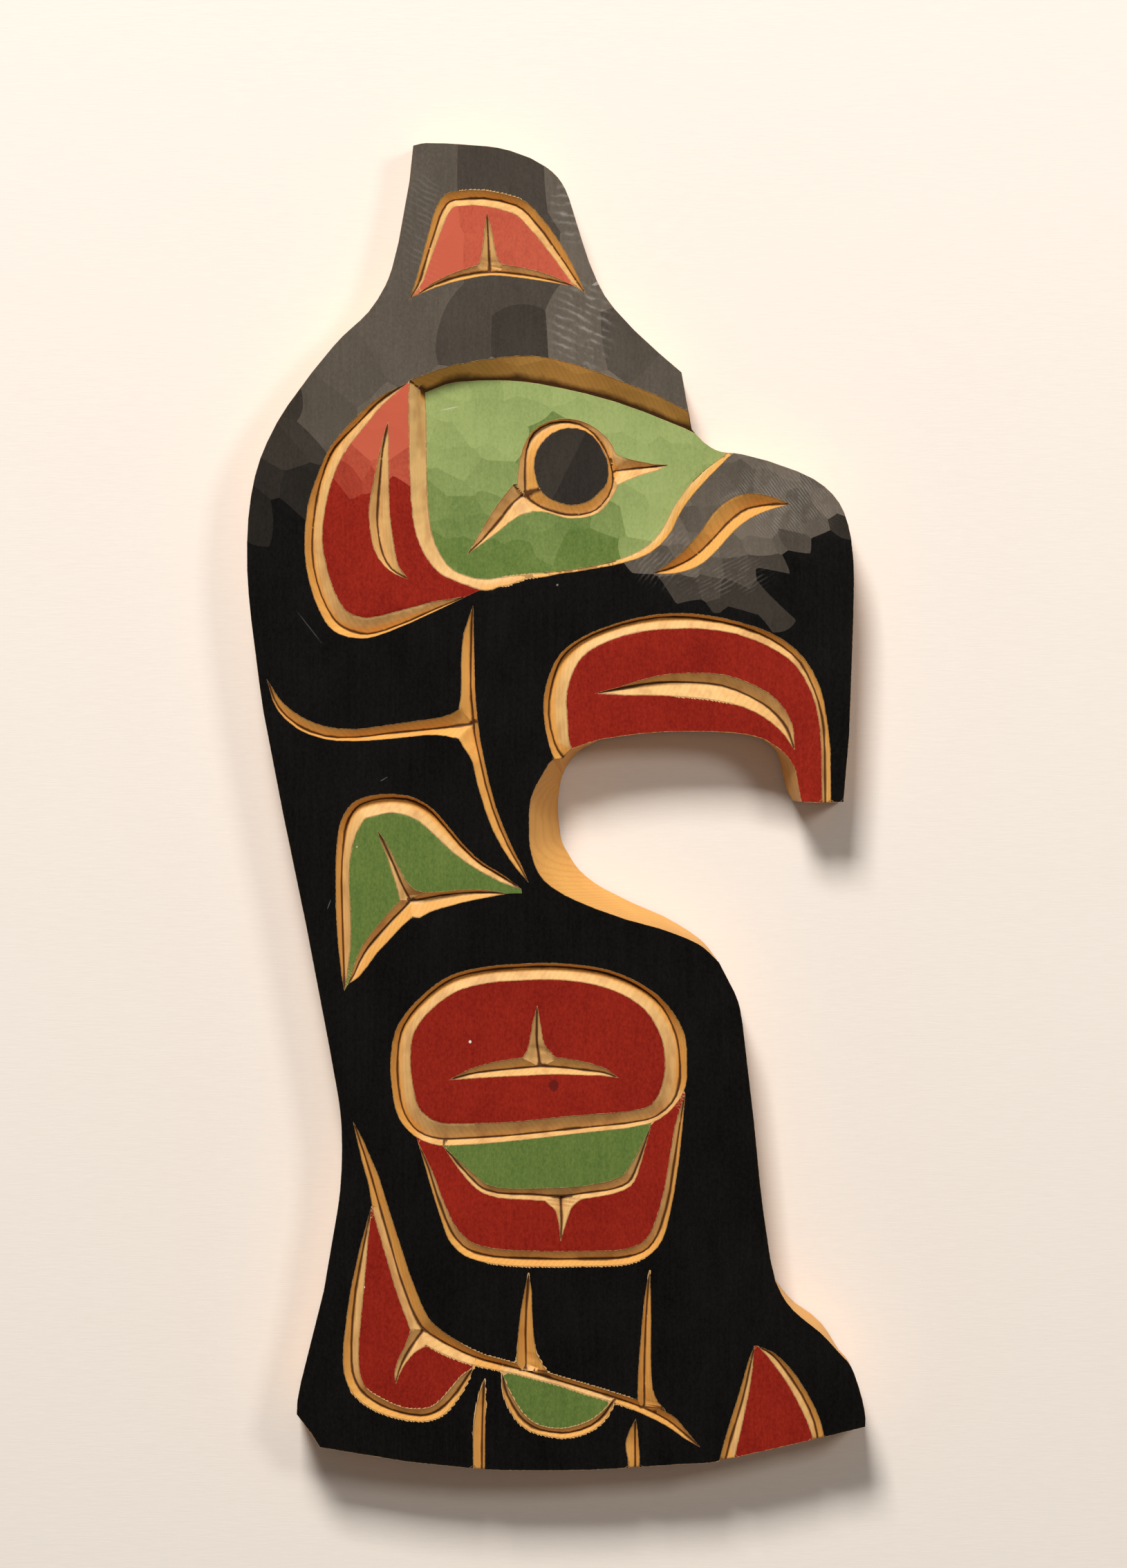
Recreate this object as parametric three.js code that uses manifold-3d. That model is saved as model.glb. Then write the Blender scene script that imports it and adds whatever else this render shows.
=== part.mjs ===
import * as THREE from 'three';
import Module from 'manifold-3d';

// A wooden board sawn to the outline of a bird and carved on its face with broad V grooves.
// Millimetres, +Z up. The flat back is the plane y = 0 and the carved face looks towards -Y.
// The origin is the point on the back where the board hangs.

// Driving sizes.
const boardHeight = 430;
const boardThickness = 19;
const grooveDepth = 3.4;
const grooveSteepness = 1.1;
const socketLowDepth = 1.5;
const socketBrowDepth = 7.5;
const headPlaning = [0, 0.5, 2.4, 6.8];

// How far a facet may stray from the curve it stands for, and how far the cutters clear the wood.
// The socket's cutter clears it by more, because its top is flat and the head bulges under it.
const facetTolerance = 0.12;
const cutterClearance = 0.4;
const socketClearance = 1.5;

// The design is laid out in its own units, x to the right and z up, on a drawing of this height.
const drawingHeight = 1923;
const drawingLeft = 7;
const drawingRight = 902;
const unit = boardHeight / drawingHeight;
const hangX = 430;
const hangZ = 1430;

// The head is planed back in flat bands above a line that falls from left to right.
const planingSteps = [0, 130, 300, 600];
const planingLeftZ = 1440;
const planingFall = 0.16;

// The floor of the eye socket slopes inwards between these two heights.
const socketLowZ = 1300;
const socketBrowZ = 1585;

// Outline of the board, clockwise from the fin's top left corner, one stretch between corners.
// A row is x, z of the face's edge, and where the edge is bevelled also x, z of the back's edge.
const outline = {
  fin: [
    [247, 1922], [262, 1925.5], [310, 1924.5], [370, 1919], [398, 1911.5], [425, 1900], [453, 1880],
    [468, 1858], [481, 1820], [493, 1780], [507, 1740], [527, 1700], [560, 1661], [600, 1623],
    [636, 1592],
  ],
  crown: [[636, 1592], [641, 1562], [646, 1535], [651, 1510]],
  beakTop: [
    [651, 1510], [668, 1492], [688, 1479.5], [720, 1474], [772, 1460], [831, 1435], [862, 1406],
    [877, 1371], [884.5, 1320], [885, 1260], [882, 1174], [878, 1060], [872, 993], [870, 970],
  ],
  beakTip: [[870, 970, 870, 970], [840, 969, 835, 969.5], [809, 970, 799, 972]],
  beakInside: [
    [809, 970, 799, 972], [805, 993, 790, 989], [801, 1015, 785, 1011], [793, 1031, 780.5, 1033],
    [780, 1045, 772, 1048], [755, 1061.5, 755, 1061.5],
  ],
  palate: [[755, 1061.5], [730, 1068], [680, 1072], [600, 1071], [560, 1067], [517, 1060.5]],
  throat: [
    [517, 1060.5, 517, 1060.5], [497, 1054.5, 500, 1052], [477, 1047, 483, 1040],
    [462, 1036, 470, 1022], [448, 1030, 463, 1008], [432, 1006, 459, 990], [418, 975, 457, 965],
    [415, 938, 458.5, 935], [418, 897, 463, 911], [432, 862, 471, 896], [460, 839, 485, 874],
    [498, 821, 510, 852], [549, 802, 558, 826], [610, 785, 616, 800.5], [664, 762, 668, 766],
    [690, 738, 690, 738],
  ],
  breast: [
    [690, 738], [705, 710], [719, 677], [730, 596], [741, 504], [751, 402], [758, 351], [765, 305],
    [772, 276],
  ],
  rump: [
    [772, 276, 772, 276], [785, 250, 787.5, 254.5], [798, 234, 802.5, 239],
    [818, 217, 824.5, 224.5], [838, 201, 843, 207], [866, 171, 866, 171],
  ],
  tail: [[866, 171], [878, 158], [884, 147], [892, 124], [899, 98], [902, 78], [901.5, 66]],
  foot: [
    [901.5, 66], [860, 55.5], [775, 36], [708, 20.5], [680, 14.5], [626, 11.5], [576, 8], [510, 4],
    [416, 3], [357, 4], [301, 9], [240, 15.5], [174, 26], [113, 36.5],
  ],
  heel: [[113, 36.5], [100, 57], [79, 84]],
  nape: [
    [79, 84], [80, 104], [92, 160], [104, 205], [118, 262], [131, 340], [141, 400], [144.5, 465],
    [142, 522], [129, 600], [110, 700], [91, 800], [70, 900], [50, 1000], [31, 1100], [20, 1180],
    [9.5, 1270], [7, 1330], [11, 1400], [24, 1460], [51, 1520], [92, 1580], [141, 1640],
    [183, 1680], [207, 1718], [220, 1755], [233, 1820], [243, 1880], [247, 1922],
  ],
};

// Rim of the eye socket, clockwise. A row is x, z of the rim on the face and x, z of the floor's edge.
// The two strands meet at the left under the brow, and outside the board where the socket runs out.
const socketBrow = [
  [242, 1580, 264, 1564], [300, 1601, 300, 1578], [352, 1611, 347, 1582], [420, 1616, 408, 1580],
  [480, 1604, 465, 1570], [540, 1582, 530, 1554], [590, 1563, 582, 1536], [648, 1534, 641, 1512],
  [705, 1512, 694, 1490],
];
const socketCheek = [
  [745, 1505, 733, 1503], [713, 1476, 703, 1476], [675, 1440, 660, 1443], [641, 1400, 629, 1404],
  [618, 1357, 606, 1362], [594, 1333, 588, 1342], [558, 1318, 554, 1324], [500, 1306, 500, 1310],
  [440, 1296, 439, 1302], [385, 1283, 384, 1296.5], [352, 1276, 352, 1292.5],
  [318, 1287, 326, 1296.5], [287, 1300, 301, 1309], [263, 1330, 282, 1337], [250, 1365, 273, 1366],
  [245, 1410, 268, 1410], [242, 1480, 266, 1480], [241, 1540, 266, 1530], [242, 1580, 264, 1564],
];

// V grooves. A row is x, z of the groove's floor line, then its width to the left and to the right
// of the way the line runs.
const faceGrooves = {
  finArch: [
    [242, 1697, 0, 0], [257, 1725, 6, 4.5], [267, 1760, 6.5, 6.5], [280, 1800, 9, 8.5],
    [288, 1825, 9.5, 10], [300, 1841, 12, 10.5], [325, 1845, 12, 10], [350, 1846, 11, 12],
    [380, 1841, 10, 13], [403, 1832, 11, 12.5], [430, 1804, 11, 12], [450, 1776, 11, 10],
    [470, 1747, 8, 9], [484, 1725, 5, 7], [496, 1708, 0, 0],
  ],
  finBar: [
    [250, 1703, 0, 0], [280, 1720, 4, 4], [320, 1733, 8, 6], [358, 1738, 12, 5], [400, 1735, 10, 5],
    [440, 1728, 7, 4], [482, 1717, 0, 0],
  ],
  finStem: [
    [354, 1824, 0, 0], [355.5, 1795, 6, 5.5], [357, 1760, 11, 11], [357.5, 1752, 15, 15],
    [358, 1738, 28, 28],
  ],
  earArch: [
    [240, 1577, 0, 0], [200, 1551, 6.7, 5], [165, 1516, 11, 7.5], [131, 1480, 17, 4.5],
    [115, 1440, 16, 6.5], [106, 1400, 15, 10.5], [101, 1350, 15, 10.5], [103, 1310, 19, 10],
    [118, 1260, 20, 11], [140, 1227, 22, 12], [175, 1213, 23.5, 6.5], [205, 1218, 22, 4],
    [240, 1231, 18.5, 3], [280, 1249, 11.5, 2.7], [324, 1267, 0, 0],
  ],
  earLeaf: [
    [211, 1519, 0, 0], [207, 1500, 5, 2], [203, 1480, 9, 3], [199, 1440, 13.5, 8],
    [196, 1400, 17, 12], [195, 1375, 20, 11], [200, 1340, 20, 10], [207, 1320, 17, 6.5],
    [217, 1306, 12, 3], [240, 1292, 0, 0],
  ],
  nostril: [
    [594, 1300, 0, 0], [625, 1310, 9, 9.5], [655, 1326, 17, 15], [680, 1349, 20.5, 15],
    [703, 1374, 25, 14.5], [728, 1393, 23, 14.5], [760, 1400, 14, 8], [793, 1401, 0, 0],
  ],
  mouthArch: [
    [470, 1028, 16, 16], [455, 1048, 9, 21], [444, 1090, 7, 27], [446, 1130, 8, 24],
    [462, 1178, 5, 24], [490, 1203, 3.5, 19], [535, 1223, 3, 17], [585, 1235, 4, 17],
    [625, 1238.5, 4.5, 18], [670, 1235, 5.5, 14.5], [725, 1223, 5.5, 12], [770, 1203, 8, 11],
    [805, 1175, 8, 8], [828, 1132, 9, 5.5], [840, 1088, 6, 5.5], [843, 1045, 8, 5],
    [844, 955, 8, 4.5],
  ],
  tongue: [
    [511, 1127, 0, 0], [550, 1135.5, 2, 11], [600, 1143, 9, 19], [645, 1143.5, 13, 22],
    [695, 1138.5, 15.5, 23], [735, 1123, 17, 18], [765, 1104, 16, 15], [788, 1077, 9, 9.5],
    [799, 1046, 0, 0],
  ],
  collar: [
    [36, 1147, 0, 0], [52, 1108, 9, 3], [80, 1081, 13.5, 4], [120, 1065, 14, 4],
    [165, 1063.5, 12, 5.5], [210, 1069, 12, 8], [270, 1075, 14.5, 8], [300, 1078.5, 17, 15],
    [335, 1083, 30, 33],
  ],
  neckLine: [
    [334, 1254, 0, 0], [332.5, 1231, 2.5, 6.5], [332, 1211, 3, 12], [331, 1171, 5, 14],
    [331, 1132, 6, 14], [333.5, 1106, 5.5, 20], [335, 1084, 6, 27],
  ],
  breastLine: [
    [335, 1086, 6, 26], [337, 1066, 6.5, 24], [344, 1033, 5.5, 12], [352, 997, 5.5, 11.5],
    [362, 962, 5, 11], [374, 930, 5, 10.5], [388, 900, 4.3, 8], [402, 876, 3, 5.5],
    [414, 854, 0, 0],
  ],
  wingArch: [
    [148, 697, 0, 0], [147.5, 720, 3.5, 5], [146, 760, 6.5, 11], [144.5, 810, 8.5, 12.5],
    [143.5, 860, 8, 11.5], [145.5, 900, 9, 12.5], [151, 938, 9, 19], [165, 962, 8, 21],
    [186, 972, 7, 23], [216, 976, 5.5, 21.5], [243, 973.5, 4.5, 23.5], [265, 963.5, 3.5, 23],
    [280, 950, 4, 21.5], [300, 926, 4, 18], [320, 903.5, 3.3, 14.8], [342, 883, 3, 10],
    [378, 861, 2.5, 8], [404, 844, 0, 0],
  ],
  wingQuill: [
    [196, 928, 0, 0], [203, 915, 2.5, 3], [212, 895, 4.5, 3.5], [221, 875, 5, 6], [231, 851, 8, 8],
    [238, 837, 13, 12], [243, 828, 22, 17],
  ],
  wingRib: [
    [240, 826, 14, 22], [251, 828, 13, 26], [267, 831, 8.5, 21], [287, 835, 5, 18.5],
    [326, 839, 4.5, 12.5], [350, 839.5, 3.5, 8.5], [384, 837.5, 0, 0],
  ],
  wingShaft: [
    [244, 827, 20, 13], [230, 813, 18, 11], [217, 800, 17, 10.5], [199, 780, 17, 9],
    [182, 760, 15.5, 8], [170, 740, 14, 5.5], [162, 721, 8, 3.5], [153, 706, 0, 0],
  ],
  bellyBar: [
    [300, 568, 0, 0], [333, 577, 7.5, 7], [369, 581.5, 13, 9], [407, 585, 15, 11],
    [431, 587, 14, 11.5], [464, 585.5, 14, 9.5], [496, 581.5, 12, 7], [522, 578.5, 7, 4.5],
    [544, 571, 0, 0],
  ],
  bellyStem: [
    [427, 675, 0, 0], [426.5, 655, 4, 5], [426, 635, 7.5, 8.5], [427, 617, 11, 13],
    [429, 602, 20, 24], [431, 588, 30, 30],
  ],
  lapArch: [
    [255, 476, 0, 0], [270.5, 438, 3.5, 4], [282, 400, 6, 4.5], [297, 360, 8, 6.5],
    [307, 341, 11, 9], [325, 323, 12, 9.5], [355, 313, 12.5, 9.5], [400, 309.5, 11.5, 11],
    [509, 308, 12, 9.5], [557, 311.5, 12, 10], [584, 321, 13, 8.3], [600, 341, 11, 9],
    [616, 390, 9.5, 6], [625, 445, 8, 6], [633, 500, 7, 4], [641, 548, 0, 0],
  ],
  lapBowl: [
    [291, 472, 0, 0], [311, 448, 4, 3.5], [330, 427, 7, 5.5], [347, 411.5, 8, 5.5],
    [370, 404, 8, 6.5], [420, 402, 8.5, 7.5], [460, 399, 13, 7], [500, 404.5, 10.5, 7.5],
    [538, 410, 13, 6], [560, 420, 13.5, 5.5], [573, 447, 8, 3.5], [584, 480, 3.3, 2],
    [592, 503, 0, 0],
  ],
  lapSpike: [
    [461, 335, 0, 0], [462, 355, 3, 5], [462, 371, 6, 10], [461.5, 382, 10, 15], [461, 391, 20, 25],
    [461, 399, 29, 33],
  ],
  thighLine: [
    [161, 507, 0, 0], [170, 480, 5, 3], [177.5, 458, 7, 5.5], [189, 420, 11, 6.5],
    [200, 380, 12, 10.5], [212, 338, 13, 11], [225.5, 290, 15, 10.5], [236.5, 258, 16, 11.5],
    [248, 229, 16.5, 12], [260, 209, 16.5, 16], [285, 191, 14, 15], [319, 173.5, 10.5, 13],
    [350, 162, 8, 10], [400, 149.5, 7, 7.5], [460, 132, 6.5, 6], [500, 120, 7, 7.5],
    [540, 107.5, 7, 6.5], [581, 93, 8, 8], [617, 74, 10, 7], [642, 54, 5, 5], [662, 37, 0, 0],
  ],
  thighSpur: [
    [262, 205, 22, 18], [255, 196, 18, 14], [243, 179, 9, 8.5], [232, 159, 4.5, 7.5],
    [226, 143, 2, 5.5], [222.5, 129, 0, 0],
  ],
  legArch: [
    [187, 384, 0, 0], [178, 340, 4.5, 3.5], [171, 300, 8.5, 6], [163.5, 260, 12, 7],
    [159, 215, 12.5, 9], [158, 175, 10.5, 12], [160, 143, 10.5, 12], [172, 118, 8.3, 11.5],
    [200, 97, 9.5, 10], [235, 85, 8, 8.5], [263, 82, 10, 8], [285, 90, 9.5, 9],
    [308, 112, 10.5, 6.5], [324, 135, 8, 4], [334, 151, 0, 0],
  ],
  heelSlit: [
    [351, 135, 0, 0], [349.5, 115, 2.5, 6], [348.5, 95, 4, 9.5], [347.5, 55, 4, 13.5],
    [347, -15, 4, 12.5],
  ],
  toeSlit: [[569.5, 77, 0, 0], [569, 62, 3, 8], [569, 42, 4.5, 14], [569, 20, 6, 11], [569, -15, 6, 8]],
  shinLine: [
    [414.5, 288, 0, 0], [413, 262, 6, 4.5], [411, 235, 8.5, 7.5], [410, 200, 11.5, 10.5],
    [410.5, 172, 15, 12.5], [410.5, 156, 24, 13], [410, 147, 32, 14],
  ],
  toeLine: [
    [589.5, 292, 0, 0], [587, 262, 4, 3.5], [584.5, 225, 7, 5], [583, 190, 8.5, 6.5],
    [582, 150, 9.5, 8.5], [582, 120, 12, 9.5], [582, 103, 19, 9.5], [581.5, 93, 30, 10],
  ],
  footBowl: [
    [376, 144, 0, 0], [381.5, 118, 4.5, 4.5], [390, 99, 6, 6.5], [403, 79, 6.5, 7],
    [421, 65, 6.5, 6.5], [445, 58.5, 5.5, 6.5], [470, 57, 7, 7.5], [500, 65, 7.5, 7],
    [519, 78, 6, 6], [531, 94, 3, 4.5], [539, 107, 0, 0],
  ],
  tailEdge: [
    [741, 183, 0, 0], [736.5, 160, 3, 4], [728, 120, 6, 7], [717.5, 80, 8, 8.5],
    [705, 40, 11.5, 8.5], [693, -8, 11.5, 8.5],
  ],
  tailArch: [
    [746, 183, 0, 0], [768, 169, 4, 7], [793, 138, 8, 8.5], [810, 112, 8, 10], [825.5, 80, 8.5, 10],
    [831.5, 58, 9, 8], [835, 30, 9, 8],
  ],
};
const faceRings = {
  bellyRing: [
    [426, 732, 5, 19], [480, 730, 5, 19], [530, 721.5, 5, 20.5], [575, 702, 5.2, 21],
    [606, 676, 7, 22], [628, 632, 12, 21.5], [634, 590, 9.5, 22], [633, 562, 9, 24.5],
    [624, 536, 5, 24], [598, 514, 5, 18.5], [560, 505, 6, 17.5], [480, 496.5, 6.5, 19.5],
    [390, 487, 7.5, 20], [320, 482.5, 8.5, 22.5], [282, 482.5, 8.5, 24], [254, 493, 7.5, 26],
    [235, 518, 9.5, 23], [226, 556, 9, 21.5], [224.5, 600, 9.5, 19], [231, 640, 8, 18],
    [254, 675, 6, 17.5], [300, 712, 5.5, 19], [350, 726, 5, 18.5],
  ],
};
const socketGrooves = {
  eyeFront: [
    [536, 1450, 30, 22], [548, 1451.5, 23, 19], [560, 1453, 15, 15], [580, 1455, 8, 10],
    [600, 1457, 2.5, 6.5], [617, 1458.5, 0, 0],
  ],
  eyeBack: [
    [326, 1329, 0, 0], [345, 1347, 8, 3.5], [360, 1364, 12, 8.5], [375, 1382, 15.5, 13],
    [390, 1402, 16, 22], [406, 1416, 20, 30],
  ],
};
const socketRings = {
  eyeRing: [
    [536, 1447, 6, 8], [530, 1470, 3, 12], [521, 1488, 3, 12], [508, 1505, 3.5, 8],
    [490, 1517, 6, 5.5], [466, 1522, 10, 4], [440, 1518, 15.5, 2.5], [420, 1504, 19, 2.5],
    [411, 1480, 15, 6], [409, 1455, 13.5, 9], [409, 1432, 18, 11], [411, 1414, 23, 16],
    [425, 1402, 19, 12], [440, 1394, 16.5, 4], [475, 1385.5, 15, 4.5], [510, 1392, 16.5, 5],
    [530, 1413, 14, 5.5], [536, 1430, 9, 8],
  ],
};

const wasm = await Module();
wasm.setup();

const place = (x, y, z) => new THREE.Vector3((x - hangX) * unit, y, (z - hangZ) * unit);

const planingStart = (x) => planingLeftZ - planingFall * x;

// Depth of the planed head below the board's flat face at a point of the drawing.
function planingDepth(x, z) {
  const up = z - planingStart(x);
  for (let band = 1; band < planingSteps.length; band += 1) {
    if (up < planingSteps[band]) {
      const share = (up - planingSteps[band - 1]) / (planingSteps[band] - planingSteps[band - 1]);
      return Math.max(0, THREE.MathUtils.lerp(headPlaning[band - 1], headPlaning[band], share));
    }
  }
  return headPlaning.at(-1);
}

const faceLevel = (x, z) => planingDepth(x, z) - boardThickness;

function socketLevel(x, z) {
  const share = (z - socketLowZ) / (socketBrowZ - socketLowZ);
  return THREE.MathUtils.lerp(socketLowDepth, socketBrowDepth, share) - boardThickness;
}

// The least facets that stay within the tolerance. A sample is the matching points of one section.
function thin(samples) {
  const kept = [samples[0]];
  const chord = new THREE.Line3();
  const nearest = new THREE.Vector3();
  const stray = (index, from, to) => Math.max(...samples[index].map((point, k) => {
    chord.set(samples[from][k], samples[to][k]);
    return chord.closestPointToPoint(point, true, nearest).distanceTo(point);
  }));
  const visit = (from, to) => {
    let worst = from;
    let distance = facetTolerance;
    for (let index = from + 1; index < to; index += 1) {
      const here = stray(index, from, to);
      if (here > distance) {
        worst = index;
        distance = here;
      }
    }
    if (worst === from) {
      kept.push(samples[to]);
      return;
    }
    visit(from, worst);
    visit(worst, to);
  };
  const middle = Math.floor(samples.length / 2);
  visit(0, middle);
  visit(middle, samples.length - 1);
  return kept;
}

const stepsPerRow = 10;
const widthTension = 0.5;

// A smooth curve through two columns of the rows, as points of the drawing.
function drawnCurve(rows, column, closed = false) {
  const points = rows.map((row) => new THREE.Vector3(row[column] ?? row[0], 0, row[column + 1] ?? row[1]));
  return new THREE.CatmullRomCurve3(points, closed, 'centripetal');
}

// Matching points along both edges of a stretch: the first two columns and the last two.
function pairedEdges(rows, firstLevel, secondLevel) {
  const first = drawnCurve(rows, 0);
  const second = drawnCurve(rows, 2);
  const count = (rows.length - 1) * stepsPerRow;
  const samples = [];
  for (let step = 0; step <= count; step += 1) {
    const a = first.getPoint(step / count);
    const b = second.getPoint(step / count);
    samples.push([place(a.x, firstLevel(a.x, a.z), a.z), place(b.x, secondLevel(b.x, b.z), b.z)]);
  }
  return thin(samples);
}

function joinStretches(stretches) {
  return stretches.flatMap((samples) => samples.slice(0, -1));
}

// Triangles that fill a ring of points, wound the way the ring runs.
function fillRing(ring) {
  const normal = new THREE.Vector3();
  ring.forEach((point, k) => {
    normal.add(new THREE.Vector3().crossVectors(point, ring[(k + 1) % ring.length]));
  });
  const size = normal.toArray().map(Math.abs);
  const drop = size.indexOf(Math.max(...size));
  const flat = ring.map((point) => {
    const [u, v] = point.toArray().filter((value, axis) => axis !== drop);
    return new THREE.Vector2(u, v);
  });
  const ringArea = THREE.ShapeUtils.area(flat);
  return THREE.ShapeUtils.triangulateShape(flat, []).map(([a, b, c]) => {
    const sameWay = THREE.ShapeUtils.area([flat[a], flat[b], flat[c]]) * ringArea > 0;
    return sameWay ? [a, b, c] : [a, c, b];
  });
}

// A closed solid through a row of rings with the same number of points.
function loft(rings, closed = false) {
  const size = rings[0].length;
  const points = rings.flat();
  const faces = [];
  for (let r = 0; r < rings.length - (closed ? 0 : 1); r += 1) {
    const here = r * size;
    const next = ((r + 1) % rings.length) * size;
    for (let k = 0; k < size; k += 1) {
      const after = (k + 1) % size;
      faces.push([here + k, here + after, next + after], [here + k, next + after, next + k]);
    }
  }
  if (!closed) {
    const last = (rings.length - 1) * size;
    fillRing(rings[0]).forEach(([a, b, c]) => faces.push([a, c, b]));
    fillRing(rings.at(-1)).forEach(([a, b, c]) => faces.push([last + a, last + b, last + c]));
  }
  const volume = faces.reduce((sum, [a, b, c]) => {
    const across = new THREE.Vector3().crossVectors(points[b], points[c]);
    return sum + points[a].dot(across);
  }, 0);
  const outward = volume > 0 ? faces : faces.map(([a, b, c]) => [a, c, b]);
  return new wasm.Manifold(new wasm.Mesh({
    numProp: 3,
    vertProperties: new Float32Array(points.flatMap((point) => point.toArray())),
    triVerts: new Uint32Array(outward.flat()),
  }));
}

// The wood that a V groove takes out, with its top above the surface that it is cut in.
function grooveCutter(rows, level, closed = false) {
  const floor = drawnCurve(rows, 0, closed);
  const sides = rows.map(([, , left, right]) => new THREE.Vector3(left, right, 0));
  const widths = new THREE.CatmullRomCurve3(sides, closed, 'catmullrom', widthTension);
  const count = (rows.length - (closed ? 0 : 1)) * stepsPerRow;
  const samples = [];
  for (let step = 0; step <= count; step += 1) {
    const { x, z } = floor.getPoint(step / count);
    const along = floor.getTangent(step / count);
    const width = widths.getPoint(step / count);
    const left = Math.max(0, width.x) * unit;
    const right = Math.max(0, width.y) * unit;
    const depth = Math.min(grooveDepth, grooveSteepness * (left + right) / 2);
    const edge = (half, side) => {
      const spread = depth > facetTolerance ? half / depth : 1 / grooveSteepness;
      const toX = -along.z * side / unit;
      const toZ = along.x * side / unit;
      const reach = half + spread * cutterClearance;
      const top = level(x + toX * half, z + toZ * half) - cutterClearance;
      return place(x + toX * reach, top, z + toZ * reach);
    };
    samples.push([place(x, level(x, z) + depth, z), edge(left, 1), edge(right, -1)]);
  }
  const kept = thin(samples);
  return loft(closed ? kept.slice(0, -1) : kept, closed);
}

function boardBlank() {
  const edges = joinStretches(Object.values(outline).map((rows) => (
    pairedEdges(rows, () => -boardThickness, () => 0)
  )));
  return loft([edges.map(([front]) => front), edges.map(([, back]) => back)]);
}

function headCutter() {
  const ends = [drawingLeft - boardThickness / unit, drawingRight + boardThickness / unit];
  const top = -boardThickness - cutterClearance;
  return loft(ends.map((x) => {
    const steps = planingSteps.map((up) => planingStart(x) + up);
    return [
      ...steps.map((z, band) => place(x, headPlaning[band] - boardThickness, z)),
      place(x, top, steps.at(-1)),
      place(x, top, steps[0]),
    ];
  }));
}

function socketCutter() {
  const walls = joinStretches([socketBrow, socketCheek].map((rows, index, strands) => {
    const next = strands[(index + 1) % strands.length][0];
    const strand = index === 0 ? [...rows, next] : rows;
    return pairedEdges(strand, faceLevel, socketLevel);
  }));
  const raised = walls.map(([rim, floorEdge]) => {
    const depth = Math.max(facetTolerance, floorEdge.y - rim.y);
    return floorEdge.clone().lerp(rim, 1 + socketClearance / depth);
  });
  return loft([raised, walls.map(([, floorEdge]) => floorEdge)]);
}

const cutters = [
  headCutter(),
  socketCutter(),
  ...Object.values(faceGrooves).map((rows) => grooveCutter(rows, faceLevel)),
  ...Object.values(faceRings).map((rows) => grooveCutter(rows, faceLevel, true)),
  ...Object.values(socketGrooves).map((rows) => grooveCutter(rows, socketLevel)),
  ...Object.values(socketRings).map((rows) => grooveCutter(rows, socketLevel, true)),
];
const carved = cutters.reduce((wood, cutter) => wood.subtract(cutter), boardBlank());

function toGeometry(solid) {
  const mesh = solid.getMesh();
  const geometry = new THREE.BufferGeometry();
  geometry.setAttribute('position', new THREE.BufferAttribute(mesh.vertProperties, mesh.numProp));
  geometry.setIndex(new THREE.BufferAttribute(mesh.triVerts, 1));
  geometry.computeVertexNormals();
  return geometry;
}

const paintedWood = new THREE.MeshStandardMaterial({
  color: 0x1d1b19, roughness: 0.6, metalness: 0, flatShading: true,
});
const board = new THREE.Mesh(toGeometry(carved), paintedWood);
board.name = 'carved_board';

const part = new THREE.Group();
part.add(board);

export default part;
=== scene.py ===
import math

import bmesh
import bpy
import numpy as np
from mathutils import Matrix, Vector
from mathutils.bvhtree import BVHTree
from mathutils.geometry import delaunay_2d_cdt
from mathutils.kdtree import KDTree


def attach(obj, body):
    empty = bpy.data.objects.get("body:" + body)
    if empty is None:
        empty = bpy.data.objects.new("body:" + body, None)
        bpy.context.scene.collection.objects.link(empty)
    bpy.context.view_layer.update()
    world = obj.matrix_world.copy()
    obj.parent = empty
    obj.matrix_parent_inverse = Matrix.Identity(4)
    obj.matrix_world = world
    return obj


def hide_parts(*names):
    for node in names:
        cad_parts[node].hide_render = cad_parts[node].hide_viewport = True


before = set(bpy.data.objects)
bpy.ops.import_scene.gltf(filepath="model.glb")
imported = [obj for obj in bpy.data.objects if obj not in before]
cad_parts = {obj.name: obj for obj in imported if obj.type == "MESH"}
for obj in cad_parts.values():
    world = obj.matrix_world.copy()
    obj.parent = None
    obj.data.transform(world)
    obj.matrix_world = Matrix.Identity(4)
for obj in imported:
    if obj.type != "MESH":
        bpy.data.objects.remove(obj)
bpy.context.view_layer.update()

# The carver's drawing has its own units: x to the right, z up, and this many from foot to fin.
board = {
    "height": 430.0,            # millimetres
    "thickness": 19.0,
    "drawingHeight": 1923.0,
    "hangX": 430.0,             # the hanging point in the drawing
    "hangZ": 1430.0,
    "planedGap": 0.95,          # between the mesh's points on the planed head
    "flatGap": 1.2,             # and on the flat face below it
    "planedFrom": [(-20, 1330), (240, 1330), (262, 1290), (560, 1290), (600, 1215), (900, 1215)],
    "backGap": 4.0,             # and on the flat back
    "jitter": 0.12,             # how far those points stray, as a share of the gap
    "planedSeed": 7,
    "backSeed": 11,
    "frontMargin": 0.55,        # share of the gap that stays free beside an edge
    "backMargin": 0.4,
    "backSkin": -0.1,           # points behind this depth lie on the back
    "edgeStep": 1.2,            # longest piece of an edge
    "backCosine": 0.99,         # a face this square to the wall is the back
    "steepCosine": 0.97,        # a flatter facet is painted, a steeper one is a cut wall
    "valleyAngle": 50.0,        # degrees between the walls at a groove's floor
    "lineReach": 9.0,           # distances to an edge or a floor are told apart up to this
    "paintReach": 30.0,         # and distances to black or bright paint up to this
    "viewFrom": -100.0,         # in front of the board, where the rays start
    "frontJoin": 1e-5,          # points nearer than this are one
    "sheetJoin": 1e-6,
    "weldGap": 1e-6,            # metres
    "flatAngle": 0.3,           # degrees
    "sharpAngle": 34.0,
}
unit = board["height"] / board["drawingHeight"]


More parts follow.
